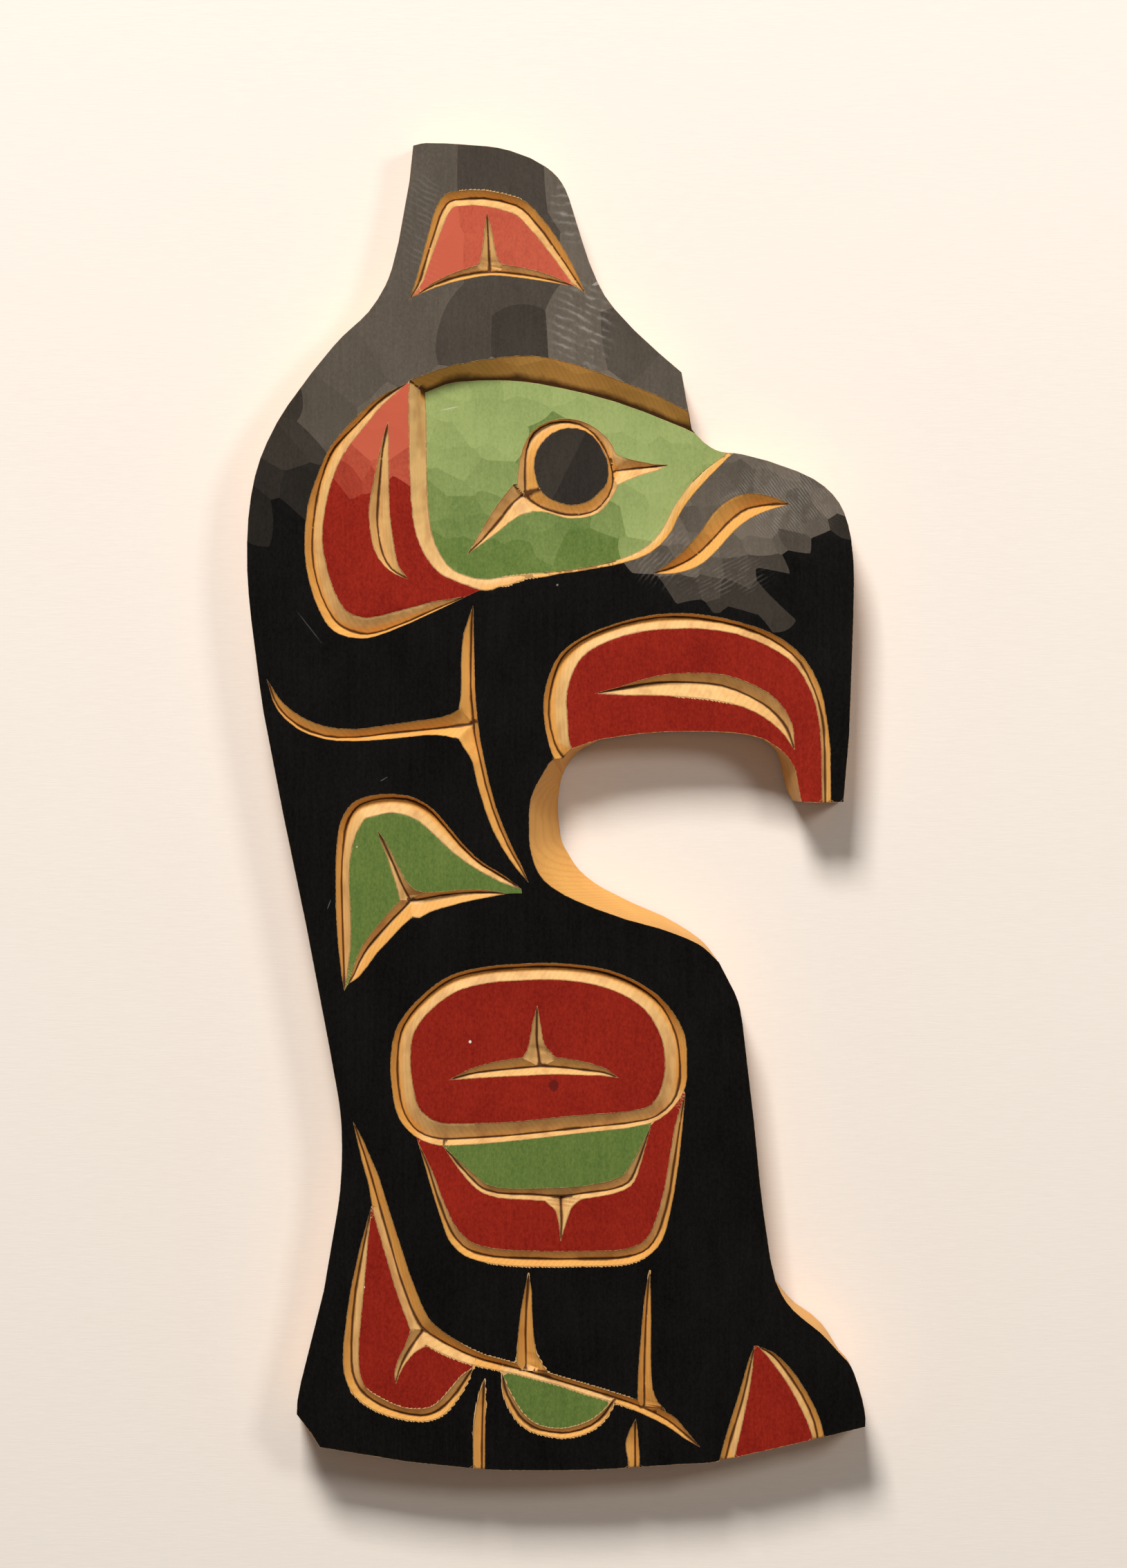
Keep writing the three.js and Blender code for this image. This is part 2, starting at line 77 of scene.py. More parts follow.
def toBoard(x, z):
    return (x - board["hangX"]) * unit, (z - board["hangZ"]) * unit


# Colours of the paint, one point inside each painted field. What has no point is black.
fields = {
    "redPaint": [(320, 1780), (160, 1350), (650, 1190), (350, 640), (450, 350), (200, 250), (770, 80)],
    "greenPaint": [(330, 1500), (170, 800), (450, 450), (450, 100)],
}
# Where two grooves run out before they meet, the paint changes along a line drawn between them.
# Each line starts and ends well inside a groove.
closings = [
    [(257, 1725), (246, 1703), (252, 1704), (280, 1720)],
    [(484, 1725), (496, 1708), (482, 1717), (440, 1728)],
    [(220, 1565), (240, 1577), (252, 1574)],
    [(290, 1253), (324, 1267), (350, 1279), (352, 1285)],
    [(147.5, 725), (148, 697), (153, 706), (164, 726)],
    [(355, 839.5), (384, 837.5), (405, 838), (404, 844), (385, 856.5)],
    [(266, 449), (255, 476), (252, 486), (254, 493)],
    [(634, 507), (641, 548), (633, 556)],
    [(308, 452), (291, 472), (290, 481)],
    [(585, 482), (592, 503), (597, 513)],
    [(181, 352), (187, 384), (197, 385)],
    [(328, 141), (334, 151), (339, 166)],
    [(380, 124), (376, 144), (377, 156)],
    [(532, 96), (539.5, 107.5)],
    [(737, 163), (741, 183), (746, 183), (766, 170)],
]
paintNames = ["blackPaint", "redPaint", "greenPaint", "bareCedar"]


# The CAD solid with its doubles merged and its flat facets joined.
def cleanCopy(node):
    solid = bmesh.new()
    solid.from_mesh(node.data)
    bmesh.ops.remove_doubles(solid, verts=solid.verts, dist=board["weldGap"])
    bmesh.ops.dissolve_limit(
        solid, angle_limit=math.radians(board["flatAngle"]), verts=solid.verts, edges=solid.edges
    )
    solid.normal_update()
    for items in (solid.verts, solid.edges, solid.faces):
        items.index_update()
        items.ensure_lookup_table()
    return solid


# Faces of the back, faces of the sawn edge, and the carved rest.
def sortFaces(solid):
    back, side, front = [], [], []
    for face in solid.faces:
        if face.normal.y > board["backCosine"]:
            back.append(face)
        elif any(v.co.y > -board["weldGap"] * 10 for v in face.verts):
            side.append(face)
        else:
            front.append(face)
    return back, side, front


def splitEdge(edge):
    a, b = (v.co * 1000 for v in edge.verts)
    count = max(1, math.ceil((b - a).length / board["edgeStep"]))
    return [a.lerp(b, step / count) for step in range(count + 1)]


# Points in millimetres. The same place gives the same number.
class PointList:
    def __init__(self):
        self.places = []
        self.known = {}

    def add(self, co):
        key = (round(co[0], 3), round(co[1], 3), round(co[2], 3))
        if key not in self.known:
            self.known[key] = len(self.places)
            self.places.append((co[0], co[1], co[2]))
        return self.known[key]


# A slightly uneven honeycomb of points over a rectangle.
def hexGrid(low, high, gap, seed):
    rng = np.random.default_rng(seed)
    rows = np.arange(low[1], high[1], gap * math.sqrt(3) / 2)
    points = []
    for number, v in enumerate(rows):
        u = np.arange(low[0] + (number % 2) * gap / 2, high[0], gap)
        points.append(np.column_stack([u, np.full(len(u), v)]))
    points = np.concatenate(points)
    return points + rng.uniform(-board["jitter"], board["jitter"], points.shape) * gap


def clearOf(points, edgePoints, gap):
    tree = KDTree(len(edgePoints))
    for number, (u, v) in enumerate(edgePoints):
        tree.insert((u, v, 0), number)
    tree.balance()
    return [p for p in points if tree.find((p[0], p[1], 0))[2] > gap]


# The carved face, seen from the front, as triangles between its edges, the closings and a grid.
def meshFront(front, side, points):
    facets = bmesh.new()
    copies = {}
    kinds = []
    for face in front:
        for v in face.verts:
            if v.index not in copies:
                copies[v.index] = facets.verts.new(v.co * 1000)
        facets.faces.new([copies[v.index] for v in face.verts])
        kinds.append(-face.normal.y)
    facets.normal_update()
    facets.faces.index_update()
    surface = BVHTree.FromBMesh(facets)

    def hit(u, v):
        return surface.ray_cast(Vector((u, board["viewFrom"], v)), Vector((0, 1, 0)))

    flat, depths, segments, corners, rimNumbers = [], [], [], {}, {}
    sideNumbers = {face.index for face in side}
    edges = {edge.index: edge for face in front for edge in face.edges}
    for edge in edges.values():
        onRim = any(face.index in sideNumbers for face in edge.link_faces)
        places = splitEdge(edge)
        row = []
        for step, co in enumerate(places):
            corner = {0: edge.verts[0].index, len(places) - 1: edge.verts[1].index}.get(step)
            if corner not in corners:
                flat.append((co.x, co.z))
                depths.append(co.y)
                if corner is not None:
                    corners[corner] = len(flat) - 1
                row.append(len(flat) - 1)
            else:
                row.append(corners[corner])
            if onRim:
                rimNumbers[row[-1]] = points.add(co)
        segments += list(zip(row, row[1:]))
    closingStart = len(segments)
    for line in closings:
        places = [toBoard(x, z) for x, z in line]
        for start, end in zip(places, places[1:]):
            segments.append((len(flat), len(flat) + 1))
            flat += [start, end]
    low, high = np.min(flat, axis=0), np.max(flat, axis=0)
    startX, startZ = zip(*(toBoard(x, z) for x, z in board["planedFrom"]))
    grid = []
    for gap, sign in ((board["planedGap"], 1), (board["flatGap"], -1)):
        places = hexGrid(low, high, gap, board["planedSeed"])
        above = sign * (places[:, 1] - np.interp(places[:, 0], startX, startZ)) > 0
        inside = [p for p in places[above] if hit(*p)[0] is not None]
        grid += clearOf(inside, flat, gap * board["frontMargin"])
    everyPoint = [Vector(p) for p in flat] + [Vector(p) for p in grid]
    verts, lines, triangles, vertFrom, lineFrom, _ = delaunay_2d_cdt(
        everyPoint, segments, [], 1, board["frontJoin"]
    )
    numbers = []
    for place, source in zip(verts, vertFrom):
        rim = [rimNumbers[k] for k in source if k in rimNumbers]
        known = [depths[k] for k in source if k < len(depths)]
        if rim:
            numbers.append(rim[0])
            continue
        if known:
            y = min(known)
        else:
            where = hit(place.x, place.y)[0]
            if where is None:
                where = surface.find_nearest(Vector((place.x, -board["thickness"], place.y)))[0]
            y = where.y
        points.places.append((place.x, y, place.y))
        numbers.append(len(points.places) - 1)
    walls = {frozenset(line) for line, source in zip(lines, lineFrom)
             if any(k >= closingStart for k in source)}
    steep = []
    for triangle in triangles:
        face = hit(*sum((verts[k] for k in triangle), Vector((0, 0))) / 3)[2]
        steep.append(face is not None and kinds[face] < board["steepCosine"])
    facets.free()
    return verts, triangles, numbers, walls, steep


# Every field that the steep walls and the closings shut off gets the paint of the point inside it.
def paintFields(verts, triangles, walls, steep):
    neighbours = {}
    for number, triangle in enumerate(triangles):
        for a, b in zip(triangle, triangle[1:] + triangle[:1]):
            edge = frozenset((a, b))
            if edge not in walls:
                neighbours.setdefault(edge, []).append(number)
    beside = [[] for _ in triangles]
    for pair in neighbours.values():
        if len(pair) == 2:
            beside[pair[0]].append(pair[1])
            beside[pair[1]].append(pair[0])
    centres = KDTree(len(triangles))
    for number, triangle in enumerate(triangles):
        if not steep[number]:
            u = sum(verts[k].x for k in triangle) / 3
            v = sum(verts[k].y for k in triangle) / 3
            centres.insert((u, v, 0), number)
    centres.balance()
    paint = [paintNames.index("bareCedar") if cut else 0 for cut in steep]
    for name, seeds in fields.items():
        for seed in seeds:
            start = centres.find((*toBoard(*seed), 0))[1]
            waiting = [start]
            filled = 0
            while waiting:
                number = waiting.pop()
                if paint[number] != 0:
                    continue
                paint[number] = paintNames.index(name)
                filled += 1
                waiting += [other for other in beside[number] if paint[other] == 0]
            print(name, seed, "triangles", filled)
    return paint


# One facet of the sawn edge, as triangles between the short pieces of its own edges.
def meshSide(face, points):
    across = face.normal.cross(Vector((0, 1, 0))).normalized()
    up = face.normal.cross(across)
    ring = []
    for loop in face.loops:
        row = splitEdge(loop.edge)
        if loop.edge.verts[0] != loop.vert:
            row.reverse()
        ring += row[:-1]
    numbers = [points.add(co) for co in ring]
    flat = [Vector((co.dot(across), co.dot(up))) for co in ring]
    ends = [(k, (k + 1) % len(ring)) for k in range(len(ring))]
    _, _, triangles, source, _, _ = delaunay_2d_cdt(flat, ends, [], 1, board["sheetJoin"])
    return [[numbers[source[k][0]] for k in triangle] for triangle in triangles]


# The flat back, as triangles between its rim and a grid.
def meshBack(back, points):
    rim = [e for f in back for e in f.edges if not all(other in back for other in e.link_faces)]
    flat, ids, segments = [], {}, []
    for edge in rim:
        row = []
        for co in splitEdge(edge):
            number = points.add(co)
            if number not in ids:
                ids[number] = len(flat)
                flat.append(Vector((co.x, co.z)))
            row.append(ids[number])
        segments += list(zip(row, row[1:]))
    owner = {ids[number]: number for number in ids}
    low, high = np.min(flat, axis=0), np.max(flat, axis=0)
    grid = hexGrid(low, high, board["backGap"], board["backSeed"])
    grid = clearOf(grid, flat, board["backGap"] * board["backMargin"])
    flat += [Vector(p) for p in grid]
    verts, _, triangles, source, _, _ = delaunay_2d_cdt(flat, segments, [], 1, board["sheetJoin"])
    numbers = {}
    for k in sorted({k for triangle in triangles for k in triangle}):
        known = [s for s in source[k] if s in owner]
        numbers[k] = owner[known[0]] if known else points.add((verts[k].x, 0.0, verts[k].y))
    return [[numbers[k] for k in reversed(triangle)] for triangle in triangles]


# How far each place is from the nearest target, up to a reach.
def distanceTo(places, targets, reach):
    tree = KDTree(len(targets))
    for number, place in enumerate(targets):
        tree.insert(place, number)
    tree.balance()
    return np.array([min(reach, tree.find(Vector(p))[2]) for p in places])


# The knife's work on the planed head, and the painted sheen on its facets. Places and lengths are in
# the drawing's units, turns in degrees, depths and the pitch of the ridges in millimetres.
knife = {
    # Cuts that start below this line were not made: there the face was left as sawn. Each row:
    # x, z and how far above it the painted sheen goes on growing stronger.
    "edge": [
        (-20, 1385, 110), (60, 1395, 110), (100, 1420, 90), (150, 1430, 60), (240, 1425, 60),
        (262, 1360, 170), (400, 1340, 180), (552, 1330, 170), (566, 1296, 70), (620, 1262, 80),
        (700, 1240, 95), (745, 1252, 95), (770, 1284, 90), (800, 1318, 80), (835, 1340, 60),
        (880, 1370, 40),
    ],
    "sheenRiseFrom": 0.22,
    # Broad cuts: middle x and z, half width, half length, turn, depth, how light its painted sheen is.
    "cuts": [
        (262, 1850, 50, 130, -6, 0.35, 0.60), (255, 1700, 60, 110, -14, 0.35, 0.62),
        (372, 1880, 64, 100, 0, 0.40, 0.36), (392, 1740, 70, 80, 0, 0.30, 0.40),
        (490, 1860, 48, 90, 16, 0.50, 0.72), (510, 1740, 44, 70, 24, 0.45, 0.80),
        (226, 1640, 50, 70, 30, 0.35, 0.64), (318, 1655, 50, 64, 6, 0.32, 0.40),
        (400, 1650, 46, 60, -2, 0.34, 0.27), (484, 1650, 46, 74, 12, 0.45, 0.78),
        (556, 1640, 44, 60, 34, 0.40, 0.50), (625, 1570, 50, 56, 50, 0.40, 0.62),
        (150, 1600, 50, 60, 40, 0.35, 0.60), (110, 1540, 50, 56, 44, 0.35, 0.55),
        (452, 1470, 58, 70, 12, 0.45, 0.23), (492, 1440, 58, 70, 12, 0.45, 0.18),
    ],
    # Areas of short cuts laid beside each other; light is the range of their painted sheen.
    "patches": [
        {"corners": [(560, 1290), (620, 1240), (700, 1215), (760, 1240), (890, 1330), (880, 1440),
                     (790, 1480), (690, 1500), (660, 1430), (630, 1370)],
         "gap": 36, "width": 29, "length": 44, "turn": 52, "depth": 0.34, "light": (0.6, 1.0)},
        {"corners": [(100, 1400), (210, 1550), (240, 1570), (245, 1395)],
         "gap": 34, "width": 27, "length": 38, "turn": 30, "depth": 0.22, "light": (0.55, 0.85)},
        {"corners": [(262, 1310), (262, 1570), (350, 1590), (560, 1560), (710, 1490), (650, 1400),
                     (560, 1310), (420, 1300)],
         "gap": 40, "width": 32, "length": 46, "turn": 64, "depth": 0.36, "light": (0.78, 1.0),
         "clear": (471, 1455, 92)},
        {"corners": [(-5, 1360), (40, 1500), (80, 1560), (120, 1530), (90, 1480), (80, 1370)],
         "gap": 42, "width": 32, "length": 42, "turn": 35, "depth": 0.26, "light": (0.22, 0.40)},
    ],
    # Ridges the blade left: middle x and z, half width, half height, way across them, pitch, strength.
    "ridges": [
        (484, 1830, 46, 64, 84, 2.9, 0.9), (490, 1655, 58, 84, 66, 2.6, 1.0),
        (262, 1800, 40, 130, 60, 1.8, 0.22), (610, 1330, 60, 60, 140, 1.5, 0.45),
        (775, 1405, 110, 66, 38, 0.85, 0.8), (690, 1300, 90, 44, 120, 1.3, 0.4),
    ],
    "ridgeFade": 1.6,
    "uncut": -0.30,             # cuts shallower than this don't mark the sawn face
    "stray": 0.25,              # how far short cuts lie from even rows, as a share of their gap
    "strayTurn": 20,
    "sizes": (0.85, 1.2),       # range of their size and of their depth
    "depths": (0.7, 1.2),
    "cornerShare": 0.08,        # no triangle is split nearer than this to its corner
    "seed": 41,
}


def smoothStep(value):
    value = np.clip(value, 0, 1)
    return value * value * (3 - 2 * value)


# Which points lie inside an outline.
def insideOf(x, z, corners):
    inside = np.zeros(np.shape(x), bool)
    for (x0, z0), (x1, z1) in zip(corners, corners[1:] + corners[:1]):
        crosses = (z0 > z) != (z1 > z)
        inside ^= crosses & (x < (x1 - x0) * (z - z0) / (z1 - z0 + 1e-9) + x0)
    return inside


# Places as they lie across and along a cut.
def turned(x, z, midX, midZ, turn):
    angle = math.radians(turn)
    across = (x - midX) * math.cos(angle) + (z - midZ) * math.sin(angle)
    along = (z - midZ) * math.cos(angle) - (x - midX) * math.sin(angle)
    return across, along


# The broad cuts, and the short ones that fill the patches.
def allCuts():
    rng = np.random.default_rng(knife["seed"])
    rows = list(knife["cuts"])
    for patch in knife["patches"]:
        low, high = np.min(patch["corners"], axis=0), np.max(patch["corners"], axis=0)
        places = hexGrid(low, high, patch["gap"], knife["seed"])
        places = places + rng.uniform(-knife["stray"], knife["stray"], places.shape) * patch["gap"]
        midX, midZ, radius = patch.get("clear", (0, 0, 0))
        inside = insideOf(places[:, 0], places[:, 1], patch["corners"])
        inside &= np.hypot(places[:, 0] - midX, places[:, 1] - midZ) > radius
        for x, z in places[inside]:
            size = rng.uniform(*knife["sizes"])
            turn = patch["turn"] + rng.uniform(-knife["strayTurn"], knife["strayTurn"])
            deep = patch["depth"] * rng.uniform(*knife["depths"])
            light = rng.uniform(*patch["light"])
            rows.append((x, z, patch["width"] * size, patch["length"] * size, turn, deep, light))
    return rows


# One row of heights per cut at the points given, in millimetres below the sawn face, and the painted
# sheen on each. The first row stands for the face that was left as sawn.
def cutHeights(x, z):
    edgeX, edgeZ, lift = (np.array(column, float) for column in zip(*knife["edge"]))
    sawn = np.full(len(x), knife["uncut"])
    heights, lights = [], [0.0]
    for midX, midZ, width, length, turn, deep, light in allCuts():
        across, along = turned(x, z, midX, midZ, turn)
        here = deep * (1 - (across / width) ** 2 - (along / length) ** 2)
        above = midZ - np.interp(midX, edgeX, edgeZ)
        if above <= 0:
            sawn = np.maximum(sawn, here)
            continue
        rise = smoothStep(above / np.interp(midX, edgeX, lift))
        rise = knife["sheenRiseFrom"] + (1 - knife["sheenRiseFrom"]) * rise
        heights.append(here)
        lights.append(light * rise)
    return np.array([sawn] + heights), np.array(lights)


def inDrawing(places):
    places = np.array(places)
    return places[:, 0] / unit + board["hangX"], places[:, 2] / unit + board["hangZ"]


# Every triangle that lies in more than one of the knife's cuts is split along the line where they
# meet. Gives the triangles, their paint, the painted sheen of the cut each lies in, and the edges on
# those lines.
def splitAlongCuts(places, faces, paint, numbers):
    front = set(numbers)
    heights, lights = cutHeights(*inDrawing(places))
    label = heights.argmax(axis=0).tolist()
    middles, borders, parts = {}, set(), []

    def middle(a, b):
        a, b = min(a, b), max(a, b)
        if (a, b) not in middles:
            before = heights[label[a], a] - heights[label[b], a]
            after = heights[label[b], b] - heights[label[a], b]
            share = before / (before + after + 1e-12)
            share = min(1 - knife["cornerShare"], max(knife["cornerShare"], share))
            places.append(tuple(p + (q - p) * share for p, q in zip(places[a], places[b])))
            middles[(a, b)] = len(places) - 1
            numbers.append(len(places) - 1)
        return middles[(a, b)]

    for face, kind in zip(faces, paint):
        a, b, c = face
        split = [p in front and q in front and label[p] != label[q] for p, q in ((a, b), (b, c), (c, a))]
        if not any(split):
            parts.append((face, kind, label[a]))
        elif all(split):
            ring = [a, middle(a, b), b, middle(b, c), c, middle(c, a)]
            centre = len(places)
            places.append(tuple(sum(values) / 3 for values in zip(*(places[k] for k in ring[1::2]))))
            numbers.append(centre)
            for step in range(6):
                first, second = ring[step], ring[(step + 1) % 6]
                corner = first if step % 2 == 0 else second
                parts.append(([first, second, centre], kind, label[corner]))
            borders |= {frozenset((k, centre)) for k in ring[1::2]}
        elif sum(split) == 2:
            start = split.index(False)
            q, r, p = (face * 2)[start:start + 3]
            pq, rp = middle(p, q), middle(r, p)
            parts.append(([p, pq, rp], kind, label[p]))
            parts += [([pq, q, r], kind, label[q]), ([pq, r, rp], kind, label[q])]
            borders.add(frozenset((pq, rp)))
        else:
            start = split.index(True)
            p, q, r = (face * 2)[start:start + 3]
            pq = middle(p, q)
            parts += [([p, pq, r], kind, 0), ([pq, q, r], kind, 0)]
    faces, paint, labels = (list(column) for column in zip(*parts))
    return faces, paint, lights[labels], borders


# Strength of the blade's ridges at each point, and the number of ridges up to it.
def knifeRidges(x, z):
    strength, count = np.zeros(len(x)), np.zeros(len(x))
    for midX, midZ, width, height, turn, pitch, strong in knife["ridges"]:
        here = 1 - np.hypot((x - midX) / width, (z - midZ) / height)
        here = strong * smoothStep(knife["ridgeFade"] * here)
        across, _ = turned(x, z, midX, midZ, turn)
        wins = here > strength
        strength[wins] = here[wins]
        count[wins] = (across * unit / pitch)[wins]
    return strength, count


# Stretches where the paint's edge is torn into small teeth: boxes in the drawing, and how far beyond
# them the teeth fade out.
tornEdges = {
    "boxes": [(355, 285, 600, 306), (275, 90, 560, 182), (370, 46, 540, 86), (150, 58, 340, 118),
              (380, 1278, 425, 1300), (630, 1105, 705, 1130), (318, 1848, 405, 1864)],
    "margin": 8,
}


def tornShare(x, z):
    share = np.zeros(len(x))
    for x0, z0, x1, z1 in tornEdges["boxes"]:
        inside = np.minimum.reduce([x - x0, x1 - x, z - z0, z1 - z])
        share = np.maximum(share, np.clip(1 + inside / tornEdges["margin"], 0, 1))
    return share


# The wall under the brow has a broader dark line at its foot than a groove has: painted shadow under the
# brow.
brow = {
    "line": [(258, 1550), (520, 1538), (620, 1495), (740, 1470)],   # its lower limit, as x and z
    "top": 1665,
    "share": 0.25,              # distances from the foot count by this share
    "valleyAngle": 25.0,
}


def underBrow(x, z):
    lineX, lineZ = zip(*brow["line"])
    return (x > lineX[0]) & (z < brow["top"]) & (z > np.interp(x, lineX, lineZ))


# A groove's floor, or the foot of the wall under the brow.
def isValley(edge):
    if len(edge.link_faces) != 2 or edge.is_convex:
        return False
    x, z = inDrawing([splitEdge(edge)[0]])
    limit = brow["valleyAngle"] if underBrow(x, z)[0] else board["valleyAngle"]
    return edge.calc_face_angle() > math.radians(limit)


def addAttribute(mesh, name, values, domain="POINT"):
    attribute = mesh.attributes.new(name, "FLOAT", domain)
    attribute.data.foreach_set("value", np.asarray(values, np.float32))


# A painted triangle with all its corners on cut edges gets a point in its middle.
def splitNarrow(places, faces, paint, steep, onLip):
    added = []
    for number in range(len(steep)):
        a, b, c = faces[number]
        if steep[number] or not {a, b, c} <= onLip:
            continue
        middle = len(places)
        places.append(tuple(sum(part) / 3 for part in zip(places[a], places[b], places[c])))
        added.append(middle)
        faces[number] = [a, b, middle]
        faces += [[b, c, middle], [c, a, middle]]
        paint += [paint[number]] * 2
    return added


# Points on the lips of the cuts and on the rim: all of them, those beside black paint or the sawn
# edge, and those beside bright paint.
def lipPoints(faces, steep, paint, numbers):
    black = paintNames.index("blackPaint")
    steepPoints, flatPoints, blackPoints = set(), set(), set()
    for face, cut, kind in zip(faces, steep, paint):
        (steepPoints if cut else flatPoints).update(face)
        if not cut and kind == black:
            blackPoints.update(face)
    sidePoints = {k for face in faces[len(steep):] for k in face}
    onLip = (steepPoints & flatPoints) | (sidePoints & set(numbers))
    return onLip, onLip & (blackPoints | sidePoints), onLip & (flatPoints - blackPoints)


# What the materials read at each point.
def pointValues(places, onFront, lips, valleys):
    x, z = inDrawing(places)
    everyLip, blackLip, brightLip = ([Vector(places[k]) for k in sorted(lip)] for lip in lips)
    onBrow = underBrow(x, z)
    floorGap = distanceTo(places, valleys, board["lineReach"])
    nearBlack = distanceTo(places, brightLip, board["paintReach"])
    nearBlack -= distanceTo(places, blackLip, board["paintReach"])
    nearBlack = np.where(onBrow | (places[:, 1] > board["backSkin"]), 1, nearBlack)
    ridges, ridgeCount = knifeRidges(x, z)
    return {
        "rimGap": distanceTo(places, everyLip, board["lineReach"]),
        # Under the brow, distances from the wall's foot shrink, so the painted shade of a groove floor
        # widens into painted shadow.
        "floorGap": np.where(onBrow, floorGap * brow["share"], floorGap),
        "nearBlack": np.clip(nearBlack, -1, 1),
        "ridges": np.where(onFront, ridges, 0),
        "ridgeCount": ridgeCount,
        "torn": tornShare(x, z),
    }


def carvedBoard():
    solid = cleanCopy(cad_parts["carved_board"])
    back, side, front = sortFaces(solid)
    points = PointList()
    verts, triangles, numbers, walls, steep = meshFront(front, side, points)
    paint = paintFields(verts, triangles, walls, steep)
    faces = [[numbers[k] for k in triangle] for triangle in triangles]
    for triangle in [t for face in side for t in meshSide(face, points)] + meshBack(back, points):
        faces.append(triangle)
        paint.append(paintNames.index("bareCedar"))
    lips = lipPoints(faces, steep, paint, numbers)
    numbers += splitNarrow(points.places, faces, paint, steep, lips[0])
    faces, paint, light, borders = splitAlongCuts(points.places, faces, paint, numbers)
    places = np.array(points.places)
    onFront = np.zeros(len(places), bool)
    onFront[numbers] = True
    valleys = [place for edge in solid.edges if isValley(edge) for place in splitEdge(edge)]
    solid.free()
    values = pointValues(places, onFront, lips, valleys)
    depth = np.maximum(0, cutHeights(*inDrawing(places))[0][1:].max(axis=0))
    places[:, 1] += np.where(onFront, depth, 0)
    mesh = bpy.data.meshes.new("carvedBoardMesh")
    mesh.from_pydata((places / 1000).tolist(), [], faces)
    for name, amounts in values.items():
        addAttribute(mesh, name, amounts)
    # The painted sheen of the cut each triangle lies in, the same at its three corners.
    addAttribute(mesh, "facetSheen", np.repeat(light, 3), "CORNER")
    mesh.polygons.foreach_set("material_index", paint)
    mesh.polygons.foreach_set("use_smooth", [True] * len(faces))
    mesh.set_sharp_from_angle(angle=math.radians(board["sharpAngle"]))
    for edge in mesh.edges:
        if frozenset(edge.vertices) in borders:
            edge.use_edge_sharp = True
    for name in paintNames:
        mesh.materials.append(bpy.data.materials[name])
    piece = bpy.data.objects.new("carvedBoard", mesh)
    bpy.context.scene.collection.objects.link(piece)
    print("board: triangles", len(faces), "points", len(places))
    return piece


def newNode(tree, kind, **settings):
    node = tree.nodes.new(kind)
    for name, value in settings.items():
        setattr(node, name, value)
    return node


def feed(tree, source, target):
    tree.links.new(source, target)


def newGroup(name, inputs, outputs):
    tree = bpy.data.node_groups.new(name, "ShaderNodeTree")
    for socket, value in inputs.items():
        made = tree.interface.new_socket(socket, in_out="INPUT", socket_type="NodeSocketFloat")
        made.default_value = value
    for socket in outputs:
        tree.interface.new_socket(socket, in_out="OUTPUT", socket_type="NodeSocketFloat")
    return tree, newNode(tree, "NodeGroupInput"), newNode(tree, "NodeGroupOutput")


def mathNode(tree, operation, a, b=None, clamp=False):
    node = newNode(tree, "ShaderNodeMath", operation=operation, use_clamp=clamp)
    for socket, value in zip(node.inputs, (a, b)):
        if isinstance(value, (int, float)):
            socket.default_value = value
        elif value is not None:
            feed(tree, value, socket)
    return node.outputs[0]


def rangeNode(tree, value, fromLow, fromHigh, toLow=0.0, toHigh=1.0):
    node = newNode(tree, "ShaderNodeMapRange")
    feed(tree, value, node.inputs["Value"])
    for socket, amount in zip(node.inputs[1:5], (fromLow, fromHigh, toLow, toHigh)):
        if isinstance(amount, (int, float)):
            socket.default_value = amount
        else:
            feed(tree, amount, socket)
    return node.outputs[0]


def mixNode(tree, share, first, second):
    node = newNode(tree, "ShaderNodeMix", data_type="RGBA")
    for socket, value in ((node.inputs[0], share), (node.inputs[6], first), (node.inputs[7], second)):
        if isinstance(value, (int, float, tuple)):
            socket.default_value = value
        else:
            feed(tree, value, socket)
    return node.outputs[2]


# How fine each pattern is along x, y and z, in repeats to the metre, how many finer layers it has
# and how rough they are.
patterns = {
    "broadGrain": ((60, 60, 7), 2.0, 0.55),
    "fibres": ((2600, 2600, 60), 3.0, 0.6),
    "blotches": ((70, 70, 45), 3.0, 0.55),
    "streaks": ((900, 900, 30), 3.0, 0.55),
    "mottle": ((1300, 1300, 800), 4.0, 0.65),
    "pores": ((4200, 4200, 2000), 2.0, 0.55),
    "wornEdge": ((900, 900, 900), 4.0, 0.65),
    "teethPitch": ((300, 300, 300), 2.0, 0.55),
    "ridgeWaver": ((140, 140, 140), 3.0, 0.55),
    "ridgeBreaks": ((260, 260, 260), 3.0, 0.55),
    "markEdge": ((2400, 2400, 2400), 3.0, 0.55),
    "unevenWall": ((500, 500, 300), 3.0, 0.55),
    "smudges": ((240, 240, 110), 2.0, 0.5),
    "floorWidth": ((110, 110, 70), 2.0, 0.55),
    "weave": ((160, 160, 2400), 3.0, 0.6),
}


def objectNoise(tree, name):
    stretch, detail, roughness = patterns[name]
    place = newNode(tree, "ShaderNodeTexCoord").outputs["Object"]
    mapping = newNode(tree, "ShaderNodeMapping")
    feed(tree, place, mapping.inputs["Vector"])
    mapping.inputs["Scale"].default_value = stretch
    noise = newNode(tree, "ShaderNodeTexNoise")
    noise.inputs["Scale"].default_value = 1.0
    noise.inputs["Detail"].default_value = detail
    noise.inputs["Roughness"].default_value = roughness
    feed(tree, mapping.outputs[0], noise.inputs["Vector"])
    return noise.outputs["Fac"]


def attributeValue(tree, name):
    return newNode(tree, "ShaderNodeAttribute", attribute_name=name).outputs["Fac"]


# Straight cedar grain along the board: broad tone, growth rings about a far heart, fine fibres.
growth = {
    "heart": (0.19, -0.16, 0),      # metres from the board's origin
    "lean": (0.015, 0.02, 0),       # of the trunk, in radians
    "waves": {"Scale": 230, "Distortion": 1.6, "Detail": 2.0, "Detail Scale": 0.6},
    "sharpness": 2.5,               # of the dark edge of each ring
    "broadShare": 0.55,
    "ringShare": 0.3,
    "fibreShare": 0.5,
    "ringHeight": 0.35,
}


